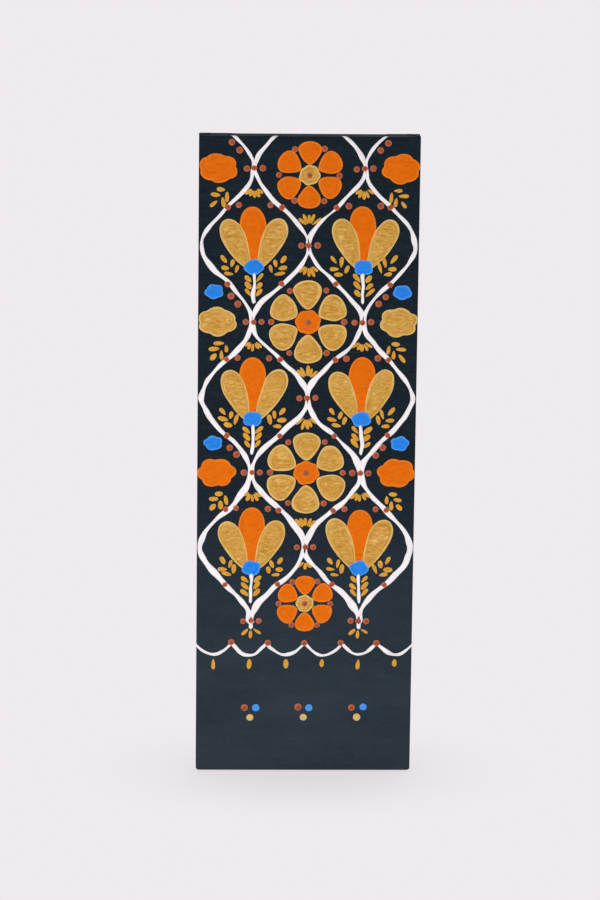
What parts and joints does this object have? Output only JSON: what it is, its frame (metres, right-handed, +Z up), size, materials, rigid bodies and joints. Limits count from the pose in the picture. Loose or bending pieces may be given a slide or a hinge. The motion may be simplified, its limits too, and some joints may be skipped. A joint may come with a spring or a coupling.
{
  "type": "stretched canvas panel",
  "caption": "Tall narrow stretched canvas: painted cloth wrapped over a mitred wooden stretcher with corner keys and stapled at the back, to hang from its top bar or stand on a ledge.",
  "frame": {"origin": "middle of the footprint, on the surface that the lower edge stands on", "axes": "+X across the panel to the viewer's right, +Y from the painted face towards the wall, +Z up the panel"},
  "size_m": [0.2012, 0.0198, 0.6012],
  "materials": {
    "painted_cloth": "primed cotton cloth under matte acrylic paint",
    "pine": "planed pine, unfinished",
    "beech": "sawn beech, unfinished",
    "staple_steel": "galvanised wire"
  },
  "bodies": {
    "frame": {"bottom_bar": "pine", "right_bar": "pine", "top_bar": "pine", "left_bar": "pine", "canvas": "painted_cloth", "bottom_staples": "staple_steel", "right_staples": "staple_steel", "top_staples": "staple_steel", "left_staples": "staple_steel", "corner_staples": "staple_steel"},
    "bottom_left_upright_key": {"bottom_left_upright_key": "beech"},
    "bottom_left_level_key": {"bottom_left_level_key": "beech"},
    "bottom_right_upright_key": {"bottom_right_upright_key": "beech"},
    "bottom_right_level_key": {"bottom_right_level_key": "beech"},
    "top_right_upright_key": {"top_right_upright_key": "beech"},
    "top_right_level_key": {"top_right_level_key": "beech"},
    "top_left_upright_key": {"top_left_upright_key": "beech"},
    "top_left_level_key": {"top_left_level_key": "beech"}
  },
  "joints": [
    {"name": "bottom_left_upright_key_slide", "type": "slide", "parent": "frame", "child": "bottom_left_upright_key", "axis": [0, 0, 1], "range_m": [0, 0.022]},
    {"name": "bottom_left_level_key_slide", "type": "slide", "parent": "frame", "child": "bottom_left_level_key", "axis": [1, 0, 0], "range_m": [0, 0.022]},
    {"name": "bottom_right_upright_key_slide", "type": "slide", "parent": "frame", "child": "bottom_right_upright_key", "axis": [0, 0, 1], "range_m": [0, 0.022]},
    {"name": "bottom_right_level_key_slide", "type": "slide", "parent": "frame", "child": "bottom_right_level_key", "axis": [-1, 0, 0], "range_m": [0, 0.022]},
    {"name": "top_right_upright_key_slide", "type": "slide", "parent": "frame", "child": "top_right_upright_key", "axis": [0, 0, -1], "range_m": [0, 0.022]},
    {"name": "top_right_level_key_slide", "type": "slide", "parent": "frame", "child": "top_right_level_key", "axis": [-1, 0, 0], "range_m": [0, 0.022]},
    {"name": "top_left_upright_key_slide", "type": "slide", "parent": "frame", "child": "top_left_upright_key", "axis": [0, 0, -1], "range_m": [0, 0.022]},
    {"name": "top_left_level_key_slide", "type": "slide", "parent": "frame", "child": "top_left_level_key", "axis": [1, 0, 0], "range_m": [0, 0.022]}
  ]
}
